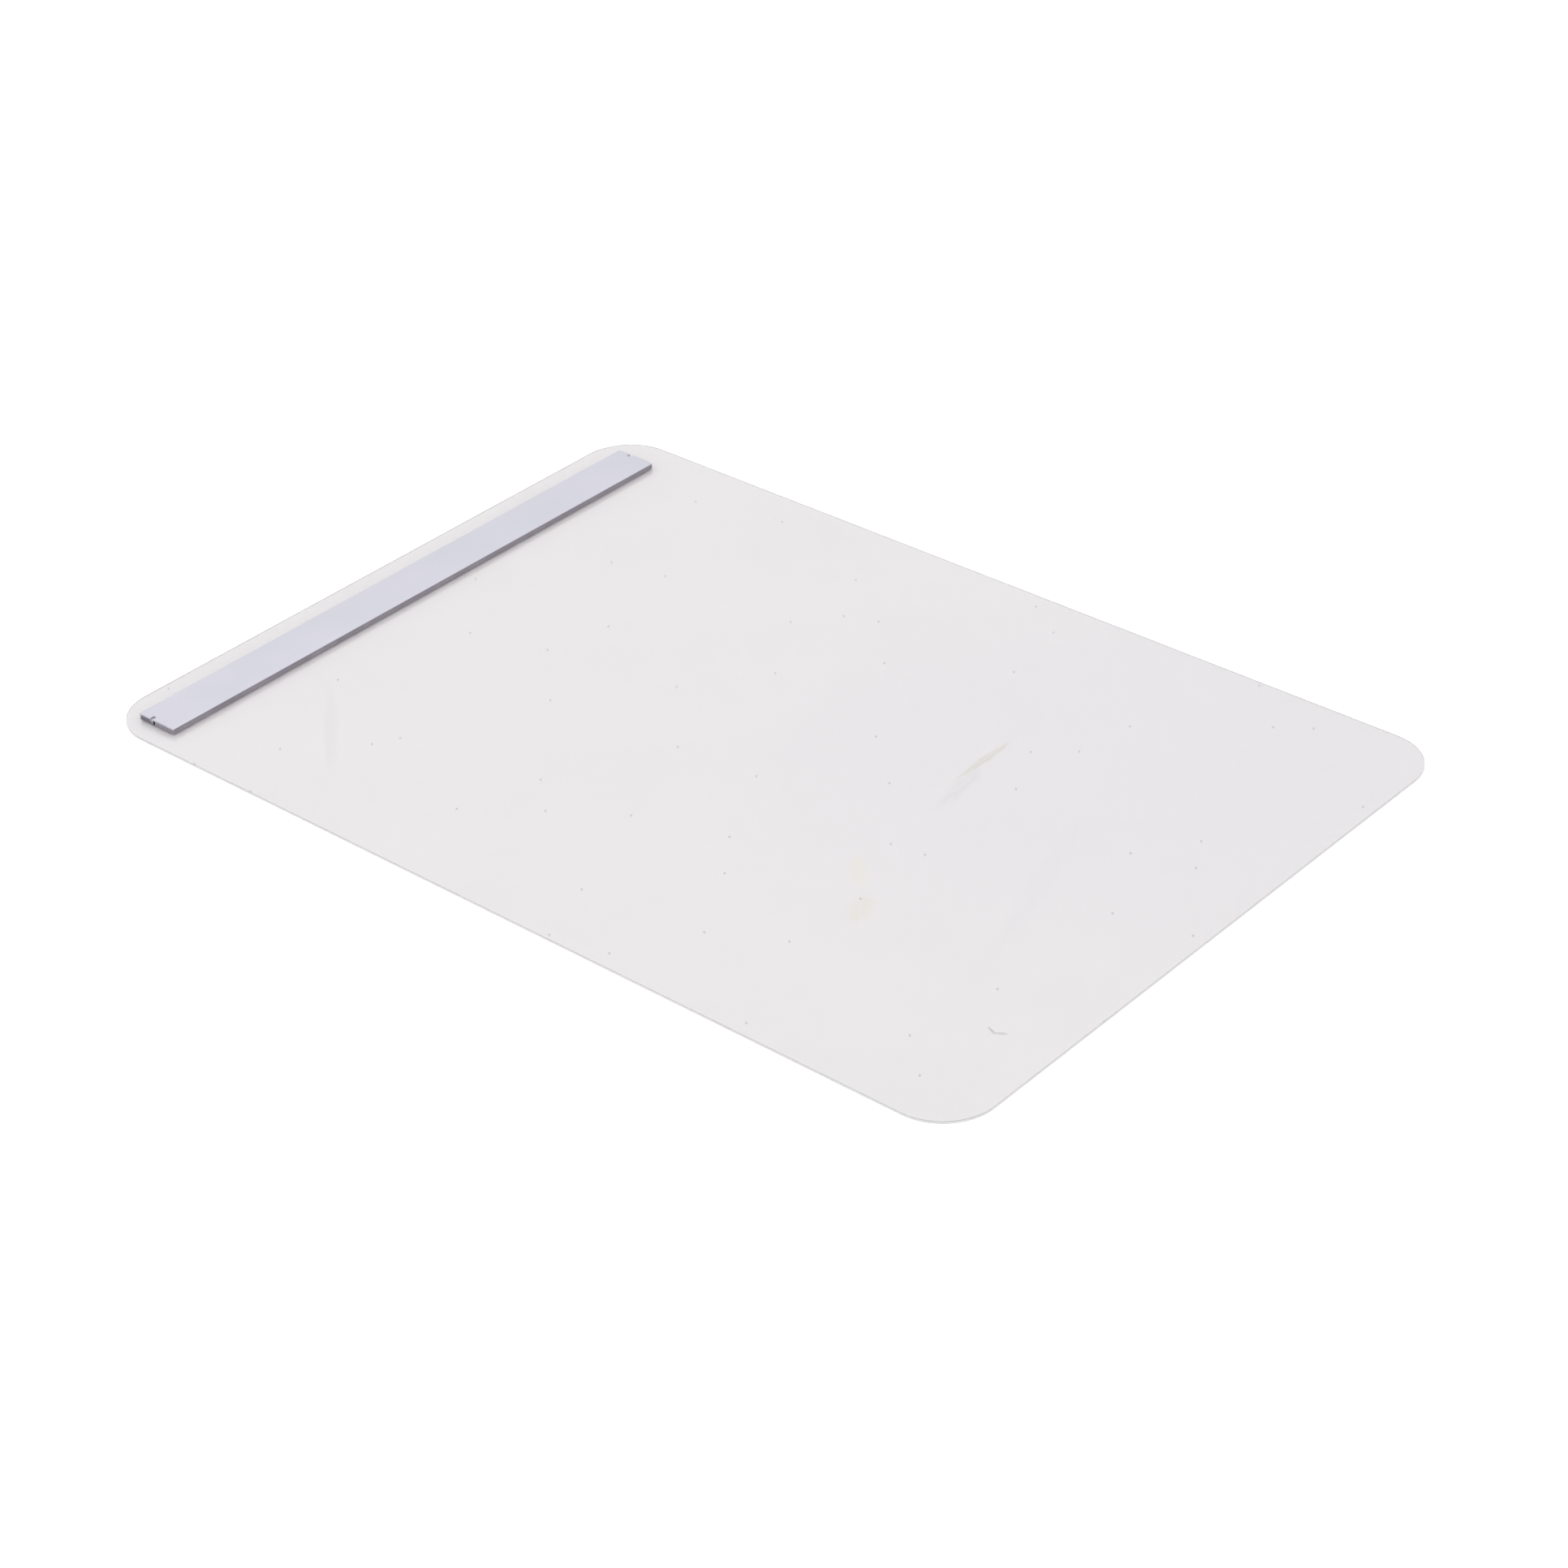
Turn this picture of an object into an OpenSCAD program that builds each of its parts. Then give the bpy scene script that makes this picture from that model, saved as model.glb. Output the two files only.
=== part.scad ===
// Low-profile clipboard: a thin clear sheet with a full-width rocking jaw along one short edge.
// Units are millimetres. +Z is up, +Y points to the clip end, and the origin lies under the
// middle of the sheet. Pressing the back of the jaw plate lifts its front lip off the sheet.

/* [Sheet] */
// Width of the clear sheet
board_w = 229; // [180:1:300]
// Length of the clear sheet
board_l = 320; // [240:1:450]
// Thickness of the clear sheet
board_t = 0.8; // [0.5:0.1:3]
// Radius of the four corners of the sheet
corner_r = 17; // [4:1:40]

/* [Jaw plate] */
// Mean distance from the ends of the clip to the side edges of the sheet
clip_margin = 9.5; // [2:0.5:40]
// Sideways offset of the clip from the middle of the sheet
clip_offset = -2.4; // [-10:0.1:10]
// Distance from the rear edge of the clip to the clip-end edge of the sheet
clip_inset = 8.8; // [2:0.1:30]
// Depth of the clip, from its rear edge to its front lip
clip_d = 14.6; // [12:0.2:30]
// Distance from the rear edge of the clip to the hinge line
lever_d = 5.3; // [4:0.1:8]
// Thickness of the jaw plate
plate_t = 0.5; // [0.4:0.05:1.2]
// Radius on the long edges of the jaw plate
plate_edge_r = 0.2; // [0.05:0.05:0.2]
// Width of the notch over each end of the hinge rod
relief_w = 1.2; // [0.8:0.1:3]
// Depth of that notch into the end of the plate
relief_d = 1.5; // [0.5:0.1:3]

/* [Hinge] */
// Diameter of the hinge rod
rod_d = 0.6; // [0.5:0.05:1.2]
// Distance from each end of the rod to the end of the clip
rod_inset = 0.1; // [0:0.05:1]
// Wall of the barrels around the rod
barrel_wall = 0.25; // [0.2:0.05:0.6]
// Radial clearance between the rod and the jaw barrels that turn on it
rod_play = 0.03; // [0.02:0.01:0.06]
// Gap between a barrel and the face that turns past it
turn_gap = 0.05; // [0.03:0.01:0.2]
// Length of each barrel on the jaw plate
jaw_barrel_l = 10; // [4:0.5:11]
// Length of each barrel on the base rail
rail_barrel_l = 10; // [4:0.5:11]
// Least distance between the middles of neighbouring jaw barrels
barrel_pitch = 28; // [24:1:40]

/* [Base rail and tape] */
// Thickness of the adhesive tape under the rail
tape_t = 0.1; // [0.05:0.05:0.3]
// Distance from each edge of the rail to the edge of the tape
tape_inset = 0.1; // [0:0.05:0.5]
// Thickness of the web of the rail
web_t = 0.3; // [0.2:0.05:0.8]
// Distance from the rear edge of the clip to the rear edge of the web
web_inset = 0.1; // [0:0.05:1]
// How far the web runs past the front of the barrels
web_lip = 0.4; // [0:0.05:1]

/* [Grip strip] */
// Distance from the front lip and the ends of the plate to the grip strip
grip_inset = 0.1; // [0:0.05:1]
// Gap between the web and the grip strip
grip_gap = 0.25; // [0.1:0.05:1]
// Gap between the closed grip strip and the sheet
rest_gap = 0.05; // [0.02:0.01:0.3]

/* [Spring strip] */
// Distance from the rear edge of the clip and its ends to the spring strip
spring_inset = 0.2; // [0:0.05:1]
// Gap between the barrels and the spring strip
spring_gap = 0.4; // [0.2:0.05:1]

/* [Hidden] */
$fn = 96;

clip_l = board_w - 2 * clip_margin;
rear_y = board_l / 2 - clip_inset;
lip_y = rear_y - clip_d;
hinge_y = rear_y - lever_d;
barrel_r = rod_d / 2 + barrel_wall;

tape_z = board_t;
web_z = tape_z + tape_t;
web_top_z = web_z + web_t;
hinge_z = web_top_z + turn_gap + barrel_r;
plate_z = hinge_z + barrel_r + turn_gap;

web_rear_y = rear_y - web_inset;
web_front_y = hinge_y - barrel_r - web_lip;

jaw_gaps = floor((clip_l - jaw_barrel_l) / barrel_pitch);
jaw_pitch = (clip_l - jaw_barrel_l) / jaw_gaps;
jaw_x = [for (i = [0:jaw_gaps]) jaw_pitch * (i - jaw_gaps / 2)];
rail_x = [for (i = [0:jaw_gaps - 1]) (jaw_x[i] + jaw_x[i + 1]) / 2];

// Flat outline with round corners, centred on the origin
module rounded_outline(w, l, r) {
    square([w - 2 * r, l], center = true);
    square([w, l - 2 * r], center = true);
    for (x = [-1, 1], y = [-1, 1])
        translate([x * (w / 2 - r), y * (l / 2 - r)])
            circle(r);
}

// Straight bar along the clip, centred on it, between two depths and two heights
module bar(length, front_y, back_y, low_z, high_z) {
    translate([clip_offset - length / 2, front_y, low_z])
        cube([length, back_y - front_y, high_z - low_z]);
}

// Cylinder along the hinge line, centred at x from the middle of the clip
module on_hinge(x, length, r) {
    translate([clip_offset + x, hinge_y, hinge_z])
        rotate([0, 90, 0])
            cylinder(h = length, r = r, center = true);
}

// One barrel with a solid foot that runs from the hinge line to foot_z
module barrel(x, length, foot_z) {
    on_hinge(x, length, barrel_r);
    translate([x, 0, 0])
        bar(length, hinge_y - barrel_r, hinge_y + barrel_r, min(hinge_z, foot_z), max(hinge_z, foot_z));
}

// Clear sheet that the paper lies on
module board() {
    color([0.90, 0.92, 0.95, 0.4])
        linear_extrude(board_t)
            rounded_outline(board_w, board_l, corner_r);
}

// Adhesive tape that bonds the rail to the sheet
module rail_tape() {
    color("dimgray")
        bar(clip_l - 2 * tape_inset, web_front_y + tape_inset, web_rear_y - tape_inset, tape_z, web_z);
}

// Thin rail with upright barrels that hold the rod
module base_rail() {
    color([0.20, 0.19, 0.21])
        difference() {
            union() {
                bar(clip_l, web_front_y, web_rear_y, web_z, web_top_z);
                for (x = rail_x)
                    barrel(x, rail_barrel_l, web_top_z);
            }
            on_hinge(0, clip_l, rod_d / 2);
        }
}

// Straight wire that the jaw rocks on
module pivot_rod() {
    color("silver")
        on_hinge(0, clip_l - 2 * rod_inset, rod_d / 2);
}

// Soft foam strip under the lever, which pushes the jaw shut
module spring_strip() {
    color([0.26, 0.25, 0.27])
        bar(clip_l - 2 * spring_inset, hinge_y + barrel_r + spring_gap, rear_y - spring_inset,
            web_top_z, plate_z);
}

// Cross-section of the jaw plate, in depth and height
module plate_section() {
    translate([(lip_y + rear_y) / 2, plate_z + plate_t / 2])
        rounded_outline(clip_d, plate_t, plate_edge_r);
}

// Flat plate with hanging barrels that turn on the rod
module jaw_plate() {
    color([0.83, 0.83, 0.88])
        difference() {
            union() {
                difference() {
                    translate([clip_offset, 0, 0])
                        rotate([90, 0, 90])
                            linear_extrude(clip_l, center = true)
                                plate_section();
                    for (side = [-1, 1])
                        translate([clip_offset + side * clip_l / 2, hinge_y, plate_z + plate_t / 2])
                            cube([2 * relief_d, relief_w, 2 * plate_t], center = true);
                }
                for (x = jaw_x)
                    barrel(x, jaw_barrel_l, plate_z);
            }
            on_hinge(0, clip_l + 2 * relief_d, rod_d / 2 + rod_play);
        }
}

// Rubber strip under the front of the plate, which presses on the paper
module grip_strip() {
    color([0.22, 0.20, 0.22])
        bar(clip_l - 2 * grip_inset, lip_y + grip_inset, web_front_y - grip_gap,
            board_t + rest_gap, plate_z);
}

board();
rail_tape();
base_rail();
pivot_rod();
spring_strip();
jaw_plate();
grip_strip();
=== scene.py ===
"""Looks of a low-profile clear clipboard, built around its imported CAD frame.

The sheet, the jaw and the hinge parts are modelled at the places that the frame gives, and each
gets the finish of its real material. Lengths are metres, and +Y points to the clip end.
"""

import logging
import math
from collections.abc import Callable
from dataclasses import dataclass, field
from enum import Enum

import bpy
from mathutils import Matrix, Vector

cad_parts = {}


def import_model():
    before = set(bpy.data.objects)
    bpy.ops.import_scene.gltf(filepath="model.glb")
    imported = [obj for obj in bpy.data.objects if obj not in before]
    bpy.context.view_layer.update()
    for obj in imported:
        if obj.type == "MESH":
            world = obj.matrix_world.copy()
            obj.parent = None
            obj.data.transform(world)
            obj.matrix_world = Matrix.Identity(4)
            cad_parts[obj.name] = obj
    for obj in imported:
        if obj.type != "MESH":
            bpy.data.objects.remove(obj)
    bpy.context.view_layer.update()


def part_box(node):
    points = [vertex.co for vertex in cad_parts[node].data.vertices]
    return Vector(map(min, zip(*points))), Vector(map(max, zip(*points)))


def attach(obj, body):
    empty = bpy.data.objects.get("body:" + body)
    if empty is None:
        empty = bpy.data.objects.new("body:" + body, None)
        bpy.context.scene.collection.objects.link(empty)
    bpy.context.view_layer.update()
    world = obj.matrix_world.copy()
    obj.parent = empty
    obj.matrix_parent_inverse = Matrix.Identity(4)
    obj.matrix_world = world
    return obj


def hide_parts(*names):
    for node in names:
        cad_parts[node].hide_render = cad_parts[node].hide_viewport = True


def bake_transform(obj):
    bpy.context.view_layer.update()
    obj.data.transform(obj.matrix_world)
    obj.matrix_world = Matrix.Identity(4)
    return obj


MM = 0.001
NEAR = 0.01 * MM
LOG = logging.getLogger("clipboard")
EdgeTest = Callable[[Vector, Vector], bool]
Colour = tuple[float, float, float, float]


class Body(str, Enum):
    """The rigid bodies of the frame that pieces ride on."""

    BASE = "base"
    JAW = "jaw"


class Slot(str, Enum):
    """Names of the material slots."""

    SHEET = "clear_sheet"
    TAPE = "bonding_tape"
    RAIL = "dark_rail"
    WIRE = "bright_wire"
    FOAM = "dark_foam"
    PLATE = "satin_plate"
    RUBBER = "dark_rubber"


# ---------------------------------------------------------------- node helpers


def linear(code: str) -> Colour:
    """Turns an sRGB hex colour into linear light.

    Args:
        code: The colour as "#rrggbb".

    Returns:
        Red, green, blue and an alpha of 1.
    """
    shares = [int(code[i : i + 2], 16) / 255 for i in (1, 3, 5)]
    r, g, b = (s / 12.92 if s <= 0.04045 else ((s + 0.055) / 1.055) ** 2.4 for s in shares)
    return (r, g, b, 1.0)


def add_node(
    tree: bpy.types.NodeTree,
    kind: str,
    inputs: dict | None = None,
    links: dict | None = None,
    **settings: object,
) -> bpy.types.Node:
    """Adds one node with its settings, values and links.

    Args:
        tree: The node tree that gets the node.
        kind: The node's type name.
        inputs: Values by input name or number.
        links: Output sockets by input name or number.
        **settings: The node's own properties.

    Returns:
        The new node.
    """
    node = tree.nodes.new(kind)
    for name, value in settings.items():
        setattr(node, name, value)
    for name, value in (inputs or {}).items():
        node.inputs[name].default_value = value
    for name, source in (links or {}).items():
        tree.links.new(source, node.inputs[name])
    return node


def new_material(name: str) -> tuple[bpy.types.Material, bpy.types.NodeTree]:
    """Makes an empty node material.

    Args:
        name: Name of the material.

    Returns:
        The material and its node tree.
    """
    material = bpy.data.materials.new(name)
    material.use_nodes = True
    material.node_tree.nodes.clear()
    return material, material.node_tree


def object_point(
    tree: bpy.types.NodeTree,
    centre: tuple[float, float, float] = (0.0, 0.0, 0.0),
    turn: float = 0.0,
    size: tuple[float, float, float] = (1.0, 1.0, 1.0),
) -> bpy.types.NodeSocket:
    """Gives the shading point in a small frame of its own.

    Args:
        tree: The node tree.
        centre: Origin of the small frame on the piece, in metres.
        turn: Turn of the small frame about Z, in radians.
        size: Length of the small frame's axes, in metres.

    Returns:
        The socket with the point.
    """
    coordinates = add_node(tree, "ShaderNodeTexCoord")
    mapping = add_node(
        tree,
        "ShaderNodeMapping",
        {"Location": centre, "Rotation": (0.0, 0.0, turn), "Scale": size},
        {"Vector": coordinates.outputs["Object"]},
        vector_type="TEXTURE",
    )
    return mapping.outputs["Vector"]


def mixed(
    tree: bpy.types.NodeTree,
    first: bpy.types.NodeSocket | Colour,
    second: bpy.types.NodeSocket | Colour,
    factor: bpy.types.NodeSocket,
) -> bpy.types.NodeSocket:
    """Mixes two colours.

    Args:
        tree: The node tree.
        first: The colour at factor 0, as a value or a socket.
        second: The colour at factor 1, as a value or a socket.
        factor: Share of the second colour.

    Returns:
        The socket with the mixed colour.
    """
    values, sources = {}, {0: factor}
    for number, colour in ((6, first), (7, second)):
        (values if isinstance(colour, tuple) else sources)[number] = colour
    return add_node(tree, "ShaderNodeMix", values, sources, data_type="RGBA").outputs[2]


# ---------------------------------------------------------------- finishes


@dataclass(frozen=True)
class Mark:
    """A faint stain, crease or scratch on the sheet.

    Attributes:
        x: Middle of the mark across the sheet, in mm.
        y: Middle of the mark along the sheet, in mm.
        long: Length of the mark, in mm.
        wide: Width of the mark, in mm.
        turn: Direction of its length, in degrees from +X.
        tint: Colour that the sheet takes there.
        strength: Share of that colour in the middle of the mark.
        ragged: How much noise breaks its edge, from 0 to 1.
    """

    x: float
    y: float
    long: float
    wide: float
    turn: float
    tint: str
    strength: float
    ragged: float = 0.6


@dataclass(frozen=True)
class ClearVinyl:
    """Calendered clear PVC: rolled flat while hot, so it is glossy with a faint ripple and haze.

    The eye gets a pale, faintly warm tint where the sheet covers white, and a soft reflection.
    """

    name: str = "clear_pvc_sheet"
    clear: str = "#dfdcde"
    hazed: str = "#dedbdd"
    shade: str = "#f4f4f4"
    roughness: float = 0.06
    ior: float = 1.53
    mottle_mm: float = 45.0
    peel_mm: float = 7.0
    speck: str = "#7e7c80"
    speck_pitch_mm: float = 34.0
    speck_radius_mm: float = 0.45
    marks: tuple[Mark, ...] = ()

    def make(self) -> bpy.types.Material:
        """Builds the material. Lamps shine straight through it, so the desk below stays lit.

        Returns:
            The material.
        """
        material, tree = new_material(self.name)
        point = object_point(tree)
        mottle = add_node(
            tree,
            "ShaderNodeTexNoise",
            {"Scale": 1 / (self.mottle_mm * MM), "Detail": 3.0, "Roughness": 0.55},
            {"Vector": point},
        )
        blotch = add_node(
            tree,
            "ShaderNodeMapRange",
            {"From Min": 0.42, "From Max": 0.62},
            {"Value": mottle.outputs["Fac"]},
        )
        base = mixed(tree, linear(self.clear), linear(self.hazed), blotch.outputs["Result"])
        for mark in self.marks:
            base = self.marked(tree, base, mark)
        base = mixed(tree, base, linear(self.speck), self.specks(tree, point))
        peel = add_node(
            tree,
            "ShaderNodeTexNoise",
            {"Scale": 1 / (self.peel_mm * MM), "Detail": 1.0},
            {"Vector": point},
        )
        bump = add_node(
            tree,
            "ShaderNodeBump",
            {"Strength": 0.02, "Distance": 0.02 * MM},
            {"Height": peel.outputs["Fac"]},
        )
        sheen = add_node(
            tree,
            "ShaderNodeMapRange",
            {
                "From Min": 0.35,
                "From Max": 0.65,
                "To Min": self.roughness * 0.8,
                "To Max": self.roughness * 1.2,
            },
            {"Value": peel.outputs["Fac"]},
        )
        glass = add_node(
            tree,
            "ShaderNodeBsdfPrincipled",
            {"Transmission Weight": 1.0, "IOR": self.ior},
            {"Base Color": base, "Roughness": sheen.outputs["Result"], "Normal": bump.outputs["Normal"]},
        )
        open_to_lamps(tree, glass.outputs["BSDF"], linear(self.shade))
        return material

    def specks(self, tree: bpy.types.NodeTree, point: bpy.types.NodeSocket) -> bpy.types.NodeSocket:
        """Scatters dust specks, about one for each square of the pitch.

        Args:
            tree: The node tree.
            point: The point on the sheet.

        Returns:
            The share of the speck's colour at the point.
        """
        dots = add_node(
            tree,
            "ShaderNodeTexVoronoi",
            {"Scale": 1 / (self.speck_pitch_mm * MM), "Randomness": 1.0},
            {"Vector": point},
            voronoi_dimensions="2D",
        )
        reach = self.speck_radius_mm / self.speck_pitch_mm
        share = add_node(
            tree,
            "ShaderNodeMapRange",
            {"From Min": reach, "From Max": reach / 3, "To Max": 0.6},
            {"Value": dots.outputs["Distance"]},
        )
        return share.outputs["Result"]

    def marked(
        self, tree: bpy.types.NodeTree, base: bpy.types.NodeSocket, mark: Mark
    ) -> bpy.types.NodeSocket:
        """Lays one mark over the sheet's colour.

        Args:
            tree: The node tree.
            base: The colour so far.
            mark: The mark to add.

        Returns:
            The colour with the mark.
        """
        centre = (mark.x * MM, mark.y * MM, 0.0)
        size = (mark.long / 2 * MM, mark.wide / 2 * MM, 50 * MM)
        local = object_point(tree, centre, math.radians(mark.turn), size)
        blob = add_node(tree, "ShaderNodeTexGradient", links={"Vector": local}, gradient_type="SPHERICAL")
        noise = add_node(
            tree,
            "ShaderNodeTexNoise",
            {"Scale": 2.5, "Detail": 3.0},
            {"Vector": local},
        )
        torn = add_node(
            tree,
            "ShaderNodeMapRange",
            {"From Min": 0.35, "From Max": 0.65, "To Min": 1 - mark.ragged, "To Max": 1.0},
            {"Value": noise.outputs["Fac"]},
        )
        cover = add_node(
            tree,
            "ShaderNodeMath",
            links={0: blob.outputs["Fac"], 1: torn.outputs["Result"]},
            operation="MULTIPLY",
        )
        share = add_node(
            tree,
            "ShaderNodeMapRange",
            {"From Min": 0.0, "From Max": 0.5, "To Max": mark.strength},
            {"Value": cover.outputs["Value"]},
            interpolation_type="SMOOTHSTEP",
        )
        return mixed(tree, base, linear(mark.tint), share.outputs["Result"])


def open_to_lamps(tree: bpy.types.NodeTree, shader: bpy.types.NodeSocket, shade: Colour) -> None:
    """Ends a clear material so that lamp and bounce light pass it straight, tinted by shade.

    Args:
        tree: The node tree.
        shader: The glossy, refracting shader that is seen.
        shade: Share of each colour that a ray keeps at each face.
    """
    path = add_node(tree, "ShaderNodeLightPath")
    straight = add_node(
        tree,
        "ShaderNodeMath",
        links={0: path.outputs["Is Shadow Ray"], 1: path.outputs["Is Diffuse Ray"]},
        operation="MAXIMUM",
    )
    gap = add_node(tree, "ShaderNodeBsdfTransparent", {"Color": shade})
    mix = add_node(
        tree,
        "ShaderNodeMixShader",
        links={0: straight.outputs["Value"], 1: shader, 2: gap.outputs["BSDF"]},
    )
    add_node(tree, "ShaderNodeOutputMaterial", links={"Surface": mix.outputs["Shader"]})


@dataclass(frozen=True)
class CutVinylEdge:
    """Die-cut edge of clear PVC: the cut frosts it, so it draws a thin grey line round the sheet."""

    name: str = "die_cut_pvc_edge"
    colour: str = "#e0dfe2"
    shade: str = "#f4f4f4"
    roughness: float = 0.45
    ior: float = 1.53
    chatter_mm: float = 0.9

    def make(self) -> bpy.types.Material:
        """Builds the material, with the fine upright chatter of the cutting rule.

        Returns:
            The material.
        """
        material, tree = new_material(self.name)
        point = object_point(tree)
        chatter = add_node(
            tree,
            "ShaderNodeTexNoise",
            {"Scale": 1 / (self.chatter_mm * MM), "Detail": 2.0},
            {"Vector": point},
        )
        rough = add_node(
            tree,
            "ShaderNodeMapRange",
            {
                "From Min": 0.3,
                "From Max": 0.7,
                "To Min": self.roughness * 0.8,
                "To Max": self.roughness * 1.2,
            },
            {"Value": chatter.outputs["Fac"]},
        )
        bump = add_node(
            tree,
            "ShaderNodeBump",
            {"Strength": 0.25, "Distance": 0.03 * MM},
            {"Height": chatter.outputs["Fac"]},
        )
        glass = add_node(
            tree,
            "ShaderNodeBsdfPrincipled",
            {"Base Color": linear(self.colour), "Transmission Weight": 0.25, "IOR": self.ior},
            {"Roughness": rough.outputs["Result"], "Normal": bump.outputs["Normal"]},
        )
        open_to_lamps(tree, glass.outputs["BSDF"], linear(self.shade))
        return material


@dataclass(frozen=True)
class SatinAluminium:
    """Anodised aluminium, brushed along its length: pale blue-grey with a soft, stretched sheen.

    The grain is drawn coarser than a real brush line of 0.05 mm, so that it shows.
    """

    name: str = "brushed_anodised_aluminium"
    colour: str = "#cfced8"
    worn: str = "#cbcbd4"
    roughness: float = 0.38
    grain_mm: float = 0.3
    grain_length_mm: float = 18.0
    cloud_mm: float = 26.0

    def make(self) -> bpy.types.Material:
        """Builds the material, with the brush lines running along X.

        Returns:
            The material.
        """
        material, tree = new_material(self.name)
        grain_size = (self.grain_length_mm * MM, self.grain_mm * MM, self.grain_mm * MM)
        grain = add_node(
            tree,
            "ShaderNodeTexNoise",
            {"Scale": 1.0, "Detail": 4.0, "Roughness": 0.6},
            {"Vector": object_point(tree, size=grain_size)},
        )
        cloud = add_node(
            tree,
            "ShaderNodeTexNoise",
            {"Scale": 1 / (self.cloud_mm * MM), "Detail": 2.0},
            {"Vector": object_point(tree)},
        )
        blend = add_node(
            tree,
            "ShaderNodeMapRange",
            {"From Min": 0.35, "From Max": 0.7},
            {"Value": cloud.outputs["Fac"]},
        )
        colour = mixed(tree, linear(self.colour), linear(self.worn), blend.outputs["Result"])
        rough = add_node(
            tree,
            "ShaderNodeMapRange",
            {
                "From Min": 0.3,
                "From Max": 0.7,
                "To Min": self.roughness * 0.85,
                "To Max": self.roughness * 1.2,
            },
            {"Value": grain.outputs["Fac"]},
        )
        bump = add_node(
            tree,
            "ShaderNodeBump",
            {"Strength": 0.06, "Distance": 0.01 * MM},
            {"Height": grain.outputs["Fac"]},
        )
        metal = add_node(
            tree,
            "ShaderNodeBsdfPrincipled",
            {"Metallic": 1.0},
            {"Base Color": colour, "Roughness": rough.outputs["Result"], "Normal": bump.outputs["Normal"]},
        )
        add_node(tree, "ShaderNodeOutputMaterial", links={"Surface": metal.outputs["BSDF"]})
        return material


@dataclass(frozen=True)
class Speckled:
    """A matte dark finish with a fine grain: rubber, foam, tape or a coated metal.

    Attributes:
        name: Name of the material.
        dark: Its deeper colour.
        light: Its paler colour, from dust, bloom or wear.
        roughness: Mean roughness.
        grain_mm: Size of the grain, in mm.
        grain_stretch: How many times longer the grain is along X.
        relief_mm: Height of the grain, in mm.
        bloom_mm: Size of the patches in which the paler colour comes and goes, in mm.
        metallic: 1 on bare metal.
        cells: True for the round cells of a foam.
    """

    name: str
    dark: str
    light: str
    roughness: float
    grain_mm: float
    grain_stretch: float = 1.0
    relief_mm: float = 0.02
    metallic: float = 0.0
    cells: bool = False
    bloom_mm: float = 9.0

    def make(self) -> bpy.types.Material:
        """Builds the material, with its grain and the patches of its paler colour.

        Returns:
            The material.
        """
        material, tree = new_material(self.name)
        size = (self.grain_mm * self.grain_stretch * MM, self.grain_mm * MM, self.grain_mm * MM)
        point = object_point(tree, size=size)
        if self.cells:
            grain = add_node(tree, "ShaderNodeTexVoronoi", {"Scale": 1.0}, {"Vector": point})
            height = grain.outputs["Distance"]
        else:
            grain = add_node(tree, "ShaderNodeTexNoise", {"Scale": 1.0, "Detail": 3.0}, {"Vector": point})
            height = grain.outputs["Fac"]
        bloom = add_node(
            tree,
            "ShaderNodeTexNoise",
            {"Scale": 1 / (self.bloom_mm * MM), "Detail": 4.0},
            {"Vector": object_point(tree)},
        )
        both = add_node(
            tree,
            "ShaderNodeMath",
            links={0: height, 1: bloom.outputs["Fac"]},
            operation="MULTIPLY",
        )
        share = add_node(
            tree,
            "ShaderNodeMapRange",
            {"From Min": 0.1, "From Max": 0.4},
            {"Value": both.outputs["Value"]},
        )
        colour = mixed(tree, linear(self.dark), linear(self.light), share.outputs["Result"])
        rough = add_node(
            tree,
            "ShaderNodeMapRange",
            {
                "From Min": 0.2,
                "From Max": 0.8,
                "To Min": self.roughness * 0.85,
                "To Max": self.roughness * 1.1,
            },
            {"Value": height},
        )
        bump = add_node(
            tree,
            "ShaderNodeBump",
            {"Strength": 0.5, "Distance": self.relief_mm * MM},
            {"Height": height},
        )
        surface = add_node(
            tree,
            "ShaderNodeBsdfPrincipled",
            {"Metallic": self.metallic},
            {"Base Color": colour, "Roughness": rough.outputs["Result"], "Normal": bump.outputs["Normal"]},
        )
        add_node(tree, "ShaderNodeOutputMaterial", links={"Surface": surface.outputs["BSDF"]})
        return material


# ---------------------------------------------------------------- modelling helpers


def fresh() -> None:
    """Deselects everything, so that an operator acts only on the piece in hand."""
    bpy.ops.object.select_all(action="DESELECT")


def take(piece: bpy.types.Object) -> None:
    """Makes one piece the only selected and the active one.

    Args:
        piece: The piece.
    """
    fresh()
    piece.select_set(True)
    bpy.context.view_layer.objects.active = piece


def add_block(name: str, low: Vector, high: Vector) -> bpy.types.Object:
    """Adds a block between two corners, with its place in its mesh.

    Args:
        name: Name of the piece.
        low: Lowest corner, in metres.
        high: Highest corner, in metres.

    Returns:
        The block, selected and active.
    """
    fresh()
    bpy.ops.mesh.primitive_cube_add(size=1, location=(low + high) / 2, scale=high - low)
    block = bpy.context.object
    block.name = name
    block.data.name = name
    bpy.ops.object.transform_apply(location=True, rotation=True, scale=True)
    return block


def add_rod(name: str, middle: Vector, length: float, radius: float, sides: int) -> bpy.types.Object:
    """Adds a cylinder along X, with its place in its mesh.

    Args:
        name: Name of the piece.
        middle: Its middle, in metres.
        length: Its length, in metres.
        radius: Its radius, in metres.
        sides: Number of sides.

    Returns:
        The cylinder, selected and active.
    """
    fresh()
    bpy.ops.mesh.primitive_cylinder_add(
        vertices=sides, radius=radius, depth=length, location=middle, rotation=(0, math.radians(90), 0)
    )
    rod = bpy.context.object
    rod.name = name
    rod.data.name = name
    bpy.ops.object.transform_apply(location=True, rotation=True, scale=True)
    return rod


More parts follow.
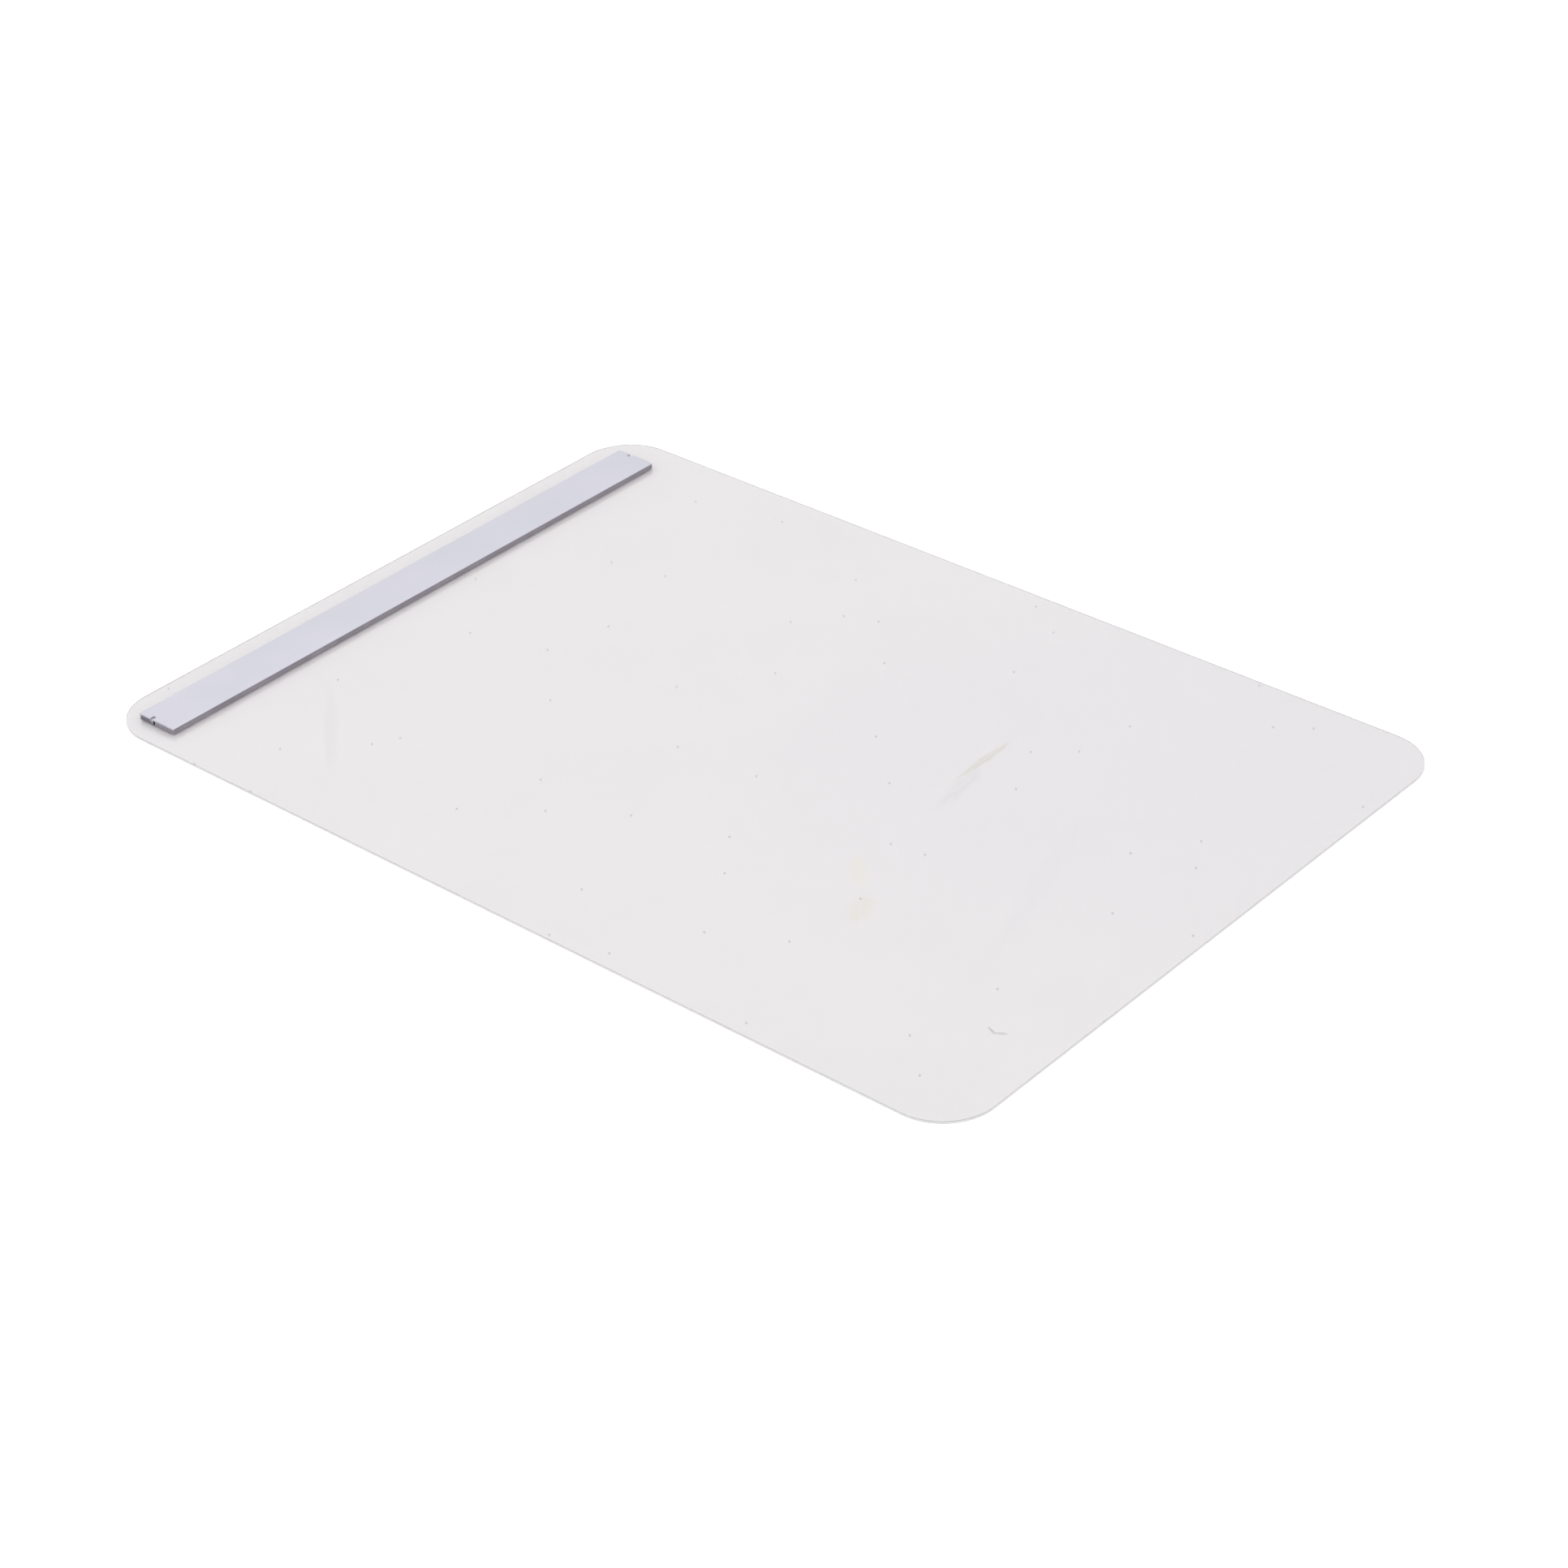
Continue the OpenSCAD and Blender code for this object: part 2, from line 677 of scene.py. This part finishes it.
def pick_edges(piece: bpy.types.Object, wanted: EdgeTest) -> None:
    """Selects the edges of a piece whose two ends pass a test, for edit mode.

    Args:
        piece: The piece.
        wanted: A function of an edge's two end points that says whether it is wanted.
    """
    mesh = piece.data
    bpy.context.scene.tool_settings.mesh_select_mode = (False, True, False)
    for element in (*mesh.vertices, *mesh.edges, *mesh.polygons):
        element.select = False
    chosen = [e for e in mesh.edges if wanted(*(mesh.vertices[i].co for i in e.vertices))]
    for edge in chosen:
        edge.select = True
        for i in edge.vertices:
            mesh.vertices[i].select = True


def is_upright(a: Vector, b: Vector) -> bool:
    """True for an edge that rises from one height to another."""
    return abs(a.z - b.z) > NEAR


def is_level(a: Vector, b: Vector) -> bool:
    """True for an edge that stays at one height."""
    return not is_upright(a, b)


def is_square_to_x(a: Vector, b: Vector) -> bool:
    """True for an edge that stays at one place along X."""
    return abs(a.x - b.x) < NEAR


def bevel_edges(piece: bpy.types.Object, wanted: EdgeTest, width: float, segments: int) -> None:
    """Rounds the edges that pass a test.

    Args:
        piece: The piece.
        wanted: A function of an edge's two end points.
        width: Width of the round, in metres.
        segments: Number of steps in the round.
    """
    take(piece)
    pick_edges(piece, wanted)
    bpy.ops.object.mode_set(mode="EDIT")
    bpy.ops.mesh.bevel(offset=width, segments=segments, profile=0.5, affect="EDGES")
    bpy.ops.object.mode_set(mode="OBJECT")


def cut_across(piece: bpy.types.Object, places: list[float], axis: Vector) -> None:
    """Cuts a piece's faces along planes square to an axis, leaving it whole.

    Args:
        piece: The piece.
        places: Positions of the planes along the axis, in metres.
        axis: Direction of the axis.
    """
    take(piece)
    bpy.ops.object.mode_set(mode="EDIT")
    for place in places:
        bpy.ops.mesh.select_all(action="SELECT")
        bpy.ops.mesh.bisect(plane_co=axis * place, plane_no=axis)
    bpy.ops.object.mode_set(mode="OBJECT")


def combine(piece: bpy.types.Object, other: bpy.types.Object, operation: str) -> None:
    """Joins another solid to a piece or cuts it away, and removes the other.

    Args:
        piece: The piece that changes.
        other: The solid that is added or cut away.
        operation: UNION or DIFFERENCE.
    """
    take(piece)
    step = piece.modifiers.new("combine", "BOOLEAN")
    step.operation = operation
    step.solver = "EXACT"
    step.object = other
    bpy.ops.object.modifier_apply(modifier=step.name)
    bpy.data.objects.remove(other, do_unlink=True)


def soften(piece: bpy.types.Object, width: float, segments: int = 2) -> None:
    """Breaks every sharp edge of a piece.

    Args:
        piece: The piece.
        width: Width of the broken edge, in metres.
        segments: Number of steps in it.
    """
    take(piece)
    bpy.ops.object.modifier_add(type="BEVEL")
    step = piece.modifiers[-1]
    step.width = width
    step.segments = segments
    step.limit_method = "ANGLE"
    step.angle_limit = math.radians(50)
    bpy.ops.object.modifier_apply(modifier=step.name)


def smooth(piece: bpy.types.Object, degrees: float = 30.0) -> None:
    """Shades a piece smooth over gentle edges, while its large flat faces stay flat.

    Args:
        piece: The piece.
        degrees: Angle over which an edge stays sharp.
    """
    take(piece)
    bpy.ops.object.shade_smooth_by_angle(angle=math.radians(degrees))
    bpy.ops.object.modifier_add(type="WEIGHTED_NORMAL")
    step = piece.modifiers[-1]
    step.keep_sharp = True
    bpy.ops.object.modifier_apply(modifier=step.name)


def finish_piece(
    piece: bpy.types.Object, node: str, body: Body, material: bpy.types.Material
) -> bpy.types.Object:
    """Gives a piece its material and its place in the frame.

    Args:
        piece: The piece.
        node: The CAD node that it stands for.
        body: The body that it rides on.
        material: Its material.

    Returns:
        The piece.
    """
    if not piece.data.materials:
        piece.data.materials.append(material)
    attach(piece, body.value)
    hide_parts(node)
    LOG.info("%s: %d faces", piece.name, len(piece.data.polygons))
    return piece


# ---------------------------------------------------------------- sub-assemblies


@dataclass
class Sheet:
    """The clear sheet: a flat plate with four round corners and lightly broken edges."""

    node: str = "board"
    corner_radius: float = 17 * MM
    corner_steps: int = 28
    edge_break: float = 0.08 * MM
    marks: tuple[Mark, ...] = (
        # A broad haze over the end away from the clip.
        Mark(60, -100, 300, 230.0, -50, "#dbd9db", 0.6, 0.3),
        # Smears and stains.
        Mark(13, -61.5, 32, 8.0, 8, "#d1ced1", 0.4, 0.9),
        Mark(29, -57.5, 34, 4.5, 2, "#cbc8bc", 0.6, 0.9),
        Mark(-37, -66, 22, 8.0, 50, "#dfdccd", 0.5, 0.9),
        Mark(-51, -78, 19, 12.0, 30, "#d9d6c6", 0.4, 0.9),
        # A crease near the clip and a wide smear at the far end.
        Mark(-77, 102, 60, 6.0, 46, "#d6d3d6", 0.35, 0.5),
        Mark(-15, -110, 96, 11.0, 18, "#d8d5d8", 0.3, 0.9),
        # Two short scratches.
        Mark(-72.4, -139.4, 4.6, 0.7, 69, "#8c8a8e", 0.6, 0.1),
        Mark(-72.0, -142.1, 4.8, 0.7, -58, "#8c8a8e", 0.6, 0.1),
    )

    def build(self) -> bpy.types.Object:
        """Models the sheet and dresses its faces and its cut edge.

        Returns:
            The sheet.
        """
        low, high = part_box(self.node)
        sheet = add_block("clear_sheet", low, high)
        bevel_edges(sheet, is_upright, self.corner_radius, self.corner_steps)
        bevel_edges(sheet, is_level, self.edge_break, 2)
        smooth(sheet)
        sheet.data.materials.append(ClearVinyl(marks=self.marks).make())
        sheet.data.materials.append(CutVinylEdge().make())
        for face in sheet.data.polygons:
            stands_up = abs(face.normal.z) < 0.1
            face.material_index = 1 if stands_up else 0
        return finish_piece(sheet, self.node, Body.BASE, sheet.data.materials[0])


@dataclass
class Hinge:
    """The rail, its tape and the wire: what the jaw rocks on.

    The hinge line, the barrels' size and their places are worked out from the frame.
    """

    rail_node: str = "base_rail"
    rod_node: str = "pivot_rod"
    tape_node: str = "rail_tape"
    jaw_node: str = "jaw_plate"
    rail_web: float = 0.3 * MM
    rail_barrel: float = 10 * MM
    jaw_barrel: float = 10 * MM
    least_pitch: float = 28 * MM
    wall: float = 0.25 * MM
    play: float = 0.03 * MM
    edge_break: float = 0.04 * MM
    tape_corner: float = 0.6 * MM
    wire_chamfer: float = 0.07 * MM
    sides: int = 32
    axis: Vector = field(init=False)
    rod_radius: float = field(init=False)
    barrel_radius: float = field(init=False)
    jaw_places: list[float] = field(init=False)
    rail_places: list[float] = field(init=False)
    # Coated steel strip: an even satin grey that stays quiet under the plate.
    rail_finish: Speckled = field(
        default_factory=lambda: Speckled("grey_coated_steel", "#625d66", "#7a747d", 0.5, 0.6, 1, 0.01)
    )
    # Steel drawn through a die: bright, with fine lines along it.
    wire_finish: Speckled = field(
        default_factory=lambda: Speckled(
            "drawn_steel_wire", "#8f9094", "#b9babd", 0.28, 0.12, 60, 0.004, metallic=1.0
        )
    )
    # Cast acrylic foam tape: a flat dark grey with no gloss.
    tape_finish: Speckled = field(
        default_factory=lambda: Speckled("grey_acrylic_tape", "#48484a", "#5d5d5f", 0.7, 0.8, 1, 0.01)
    )

    def __post_init__(self) -> None:
        """Works out the hinge line and the places of the barrels from the frame."""
        low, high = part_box(self.rod_node)
        self.axis = (low + high) / 2
        self.rod_radius = (high.z - low.z) / 2
        self.barrel_radius = self.rod_radius + self.wall
        low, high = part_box(self.jaw_node)
        span = high.x - low.x - self.jaw_barrel
        gaps = math.floor(span / self.least_pitch)
        pitch = span / gaps
        middle = (low.x + high.x) / 2
        self.jaw_places = [middle + pitch * (i - gaps / 2) for i in range(gaps + 1)]
        self.rail_places = [x + pitch / 2 for x in self.jaw_places[:-1]]

    def barrel(self, x: float, length: float, foot_z: float, bore: float) -> bpy.types.Object:
        """Models one barrel with the solid foot that carries it.

        Args:
            x: Its middle along the hinge.
            length: Its length.
            foot_z: Height that its foot runs to.
            bore: Radius of the hole for the wire.

        Returns:
            The barrel.
        """
        y, z, r = self.axis.y, self.axis.z, self.barrel_radius
        middle = Vector((x, y, z))
        barrel = add_rod("barrel", middle, length, r, self.sides)
        low = Vector((x - length / 2, y - r, min(z, foot_z)))
        high = Vector((x + length / 2, y + r, max(z, foot_z)))
        combine(barrel, add_block("foot", low, high), "UNION")
        combine(barrel, add_rod("bore", middle, length * 1.2, bore, self.sides), "DIFFERENCE")
        return barrel

    def build(self) -> list[bpy.types.Object]:
        """Models the rail, the tape and the wire."""
        return [self.rail(), self.tape(), self.wire()]

    def rail(self) -> bpy.types.Object:
        """Models the thin rail with its upright barrels.

        Returns:
            The rail.
        """
        low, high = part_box(self.rail_node)
        top = low.z + self.rail_web
        rail = add_block("hinge_rail", low, Vector((high.x, high.y, top)))
        for x in self.rail_places:
            barrel = self.barrel(x, self.rail_barrel, top - self.rail_web / 2, self.rod_radius)
            combine(rail, barrel, "UNION")
        # The short edges where foot and barrel meet hold this break to almost no width.
        soften(rail, self.edge_break)
        smooth(rail)
        return finish_piece(rail, self.rail_node, Body.BASE, self.rail_finish.make())

    def tape(self) -> bpy.types.Object:
        """Models the tape, with its corners rounded by the cutter.

        Returns:
            The tape.
        """
        tape = add_block("bonding_tape", *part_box(self.tape_node))
        bevel_edges(tape, is_upright, self.tape_corner, 5)
        smooth(tape)
        return finish_piece(tape, self.tape_node, Body.BASE, self.tape_finish.make())

    def wire(self) -> bpy.types.Object:
        """Models the hinge wire with its cropped, lightly rounded ends.

        Returns:
            The wire.
        """
        low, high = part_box(self.rod_node)
        wire = add_rod("hinge_wire", self.axis, high.x - low.x, self.rod_radius, self.sides)
        bevel_edges(wire, is_square_to_x, self.wire_chamfer, 3)
        smooth(wire)
        return finish_piece(wire, self.rod_node, Body.BASE, self.wire_finish.make())


@dataclass
class Jaw:
    """The rocking jaw: the satin plate with its barrels, and the rubber strip that grips."""

    hinge: Hinge
    plate_node: str = "jaw_plate"
    grip_node: str = "grip_strip"
    plate_thickness: float = 0.5 * MM
    edge_radius: float = 0.18 * MM
    roll_depth: float = 2.6 * MM
    roll_drop: float = 0.14 * MM
    roll_steps: int = 5
    notch_width: float = 1.2 * MM
    notch_depth: float = 1.5 * MM
    rib_depth: float = 0.22 * MM
    rib_width: float = 0.45 * MM
    rib_pitch: float = 1.3 * MM
    rubber_break: float = 0.07 * MM
    metal_break: float = 0.04 * MM
    # Nitrile rubber from a ground mould: dead matte, with a pale bloom.
    rubber: Speckled = field(
        default_factory=lambda: Speckled("moulded_nitrile_rubber", "#7d7680", "#918b95", 0.7, 0.25, 1, 0.01)
    )

    def build(self) -> list[bpy.types.Object]:
        """Models the plate and the grip."""
        return [self.plate(), self.grip()]

    def plate(self) -> bpy.types.Object:
        """Models the plate: a rolled front lip, rounded long edges, end notches and hanging barrels.

        Returns:
            The plate.
        """
        low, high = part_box(self.plate_node)
        low.z = high.z - self.plate_thickness
        plate = add_block("jaw_plate_satin", low, high)
        self.roll_lip(plate, low, high)
        bevel_edges(plate, lambda a, b: self.on_long_edge(a, b, low, high), self.edge_radius, 4)
        foot = low.z + self.plate_thickness / 3
        bore = self.hinge.rod_radius + self.hinge.play
        for x in self.hinge.jaw_places:
            barrel = self.hinge.barrel(x, self.hinge.jaw_barrel, foot, bore)
            combine(plate, barrel, "UNION")
        for end in (low.x, high.x):
            half = Vector((self.notch_depth, self.notch_width / 2, self.plate_thickness))
            middle = Vector((end, self.hinge.axis.y, low.z + self.plate_thickness))
            combine(plate, add_block("notch", middle - half, middle + half), "DIFFERENCE")
        # As on the rail, the short edges at the barrels hold this break to almost no width.
        soften(plate, self.metal_break)
        smooth(plate, 25)
        return finish_piece(plate, self.plate_node, Body.JAW, SatinAluminium().make())

    def roll_lip(self, plate: bpy.types.Object, low: Vector, high: Vector) -> None:
        """Lets the plate's top fall softly towards the front lip.

        Args:
            plate: The plate, still a block.
            low: Its lowest corner.
            high: Its highest corner.
        """
        step = self.roll_depth / self.roll_steps
        cut_across(plate, [low.y + step * (i + 1) for i in range(self.roll_steps)], Vector((0, 1, 0)))
        for vertex in plate.data.vertices:
            into = 1 - (vertex.co.y - low.y) / self.roll_depth
            if vertex.co.z > high.z - NEAR and into > 0:
                vertex.co.z -= self.roll_drop * into * into

    def on_long_edge(self, a: Vector, b: Vector, low: Vector, high: Vector) -> bool:
        """Says whether an edge runs along the plate's front lip or its back.

        Args:
            a: One end of the edge.
            b: Its other end.
            low: The plate's lowest corner.
            high: The plate's highest corner.

        Returns:
            True for the upper and lower edges of the lip and the back.
        """
        along = abs(a.x - b.x) > MM
        outer = min(abs(a.y - low.y), abs(a.y - high.y)) < NEAR
        return along and outer

    def grip(self) -> bpy.types.Object:
        """Models the rubber strip, with shallow ribs along its underside.

        Returns:
            The strip.
        """
        low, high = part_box(self.grip_node)
        grip = add_block("grip_rubber", low, high)
        count = math.floor((high.y - low.y - self.rib_pitch) / self.rib_pitch)
        first = (low.y + high.y) / 2 - self.rib_pitch * (count - 1) / 2
        for i in range(count):
            y = first + self.rib_pitch * i
            groove_low = Vector((low.x - MM, y - self.rib_width / 2, low.z - MM))
            groove_high = Vector((high.x + MM, y + self.rib_width / 2, low.z + self.rib_depth))
            combine(grip, add_block("groove", groove_low, groove_high), "DIFFERENCE")
        soften(grip, self.rubber_break, 3)
        smooth(grip)
        return finish_piece(grip, self.grip_node, Body.JAW, self.rubber.make())


@dataclass
class Spring:
    """The foam strip under the lever; the real strip is squeezed to a wedge as the jaw opens, but this one
    keeps its resting shape.
    """

    node: str = "spring_strip"
    layers: int = 4
    bulge: float = 0.09 * MM
    # Closed-cell foam cut from a block: small round cells, quite without gloss.
    finish: Speckled = field(
        default_factory=lambda: Speckled(
            "closed_cell_foam", "#5f5a63", "#7d7782", 0.85, 0.3, relief_mm=0.05, cells=True
        )
    )

    def build(self) -> bpy.types.Object:
        """Models the strip with bowed sides.

        Returns:
            The strip.
        """
        low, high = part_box(self.node)
        strip = add_block("spring_foam", low, high)
        height = high.z - low.z
        levels = [low.z + height * i / self.layers for i in range(1, self.layers)]
        cut_across(strip, levels, Vector((0, 0, 1)))
        middle = (low + high) / 2
        for vertex in strip.data.vertices:
            share = (vertex.co.z - low.z) / height
            out = self.bulge * math.sin(math.pi * share)
            vertex.co.y += math.copysign(out, vertex.co.y - middle.y)
        smooth(strip, 40)
        strip.data.materials.append(self.finish.make())
        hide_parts(self.node)
        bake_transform(strip)
        LOG.info("%s: %d faces", strip.name, len(strip.data.polygons))
        return strip


# ---------------------------------------------------------------- studio


@dataclass
class Studio:
    """Pale floor, soft light and the camera, which looks at the target from a given side."""

    target: tuple[float, float, float] = (-0.0151, -0.0199, 0.0)
    distance: float = 1.117
    azimuth: float = 48.86
    elevation: float = 32.74
    roll: float = -1.44
    lens_mm: float = 89.63
    sensor_mm: float = 36.0
    floor_size: float = 6.0
    floor_gap: float = 0.02 * MM
    floor_colour: str = "#f9f9f9"
    fibre_mm: float = 60.0
    sky: float = 1.06
    lamp_place: tuple[float, float, float] = (-0.4, 0.15, 1.9)
    lamp_length: float = 2.4
    lamp_width: float = 1.8
    lamp_power: float = 20.0

    def build(self) -> None:
        """Makes the camera, the lights and the floor."""
        self.camera()
        self.lights()
        self.floor()
        bpy.context.scene.view_settings.view_transform = "Standard"

    def camera(self) -> None:
        """Sets the camera: it looks along the azimuth from +Y towards +X, downwards."""
        azimuth, elevation, roll = (math.radians(v) for v in (self.azimuth, self.elevation, self.roll))
        flat = Vector((math.sin(azimuth), math.cos(azimuth), 0.0))
        view = flat * math.cos(elevation) - Vector((0, 0, math.sin(elevation)))
        data = bpy.data.cameras.new("camera")
        data.sensor_width = self.sensor_mm
        data.lens = self.lens_mm
        data.clip_start = 0.01
        camera = bpy.data.objects.new("camera", data)
        bpy.context.scene.collection.objects.link(camera)
        turn = view.to_track_quat("-Z", "Y").to_matrix().to_4x4()
        place = Matrix.Translation(Vector(self.target) - view * self.distance)
        camera.matrix_world = place @ turn @ Matrix.Rotation(roll, 4, "Z")
        bpy.context.scene.camera = camera

    def lights(self) -> None:
        """Adds an even white surround and one large soft lamp above."""
        world = bpy.data.worlds.new("white_surround")
        world.use_nodes = True
        background = world.node_tree.nodes["Background"]
        background.inputs["Color"].default_value = (1.0, 1.0, 1.0, 1.0)
        background.inputs["Strength"].default_value = self.sky
        bpy.context.scene.world = world
        fresh()
        bpy.ops.object.light_add(type="AREA", location=self.lamp_place)
        lamp = bpy.context.object
        lamp.name = "softbox"
        lamp.data.shape = "RECTANGLE"
        lamp.data.size = self.lamp_length
        lamp.data.size_y = self.lamp_width
        lamp.data.energy = self.lamp_power
        aim = Vector(self.target) - lamp.location
        lamp.rotation_euler = aim.to_track_quat("-Z", "Y").to_euler()

    def floor(self) -> None:
        """Lays the floor just under the sheet: matte white card, which shows no reflection."""
        fresh()
        bpy.ops.mesh.primitive_plane_add(size=self.floor_size, location=(0, 0, -self.floor_gap))
        floor = bpy.context.object
        floor.name = "floor"
        bpy.ops.object.transform_apply(location=True, rotation=True, scale=True)
        material, tree = new_material("matte_white_card")
        fibre = add_node(
            tree,
            "ShaderNodeTexNoise",
            {"Scale": 1 / (self.fibre_mm * MM), "Detail": 3.0},
            {"Vector": object_point(tree)},
        )
        rough = add_node(
            tree,
            "ShaderNodeMapRange",
            {"To Min": 0.85, "To Max": 0.95},
            {"Value": fibre.outputs["Fac"]},
        )
        card = add_node(
            tree,
            "ShaderNodeBsdfPrincipled",
            {"Base Color": linear(self.floor_colour), "Specular IOR Level": 0.2},
            {"Roughness": rough.outputs["Result"]},
        )
        add_node(tree, "ShaderNodeOutputMaterial", links={"Surface": card.outputs["BSDF"]})
        floor.data.materials.append(material)


def main() -> None:
    """Builds the clipboard piece by piece and sets the studio around it."""
    logging.basicConfig(level=logging.INFO, format="%(name)s: %(message)s")
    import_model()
    hinge = Hinge()
    Sheet().build()
    hinge.build()
    Jaw(hinge).build()
    Spring().build()
    Studio().build()


if __name__ == "__main__":
    main()
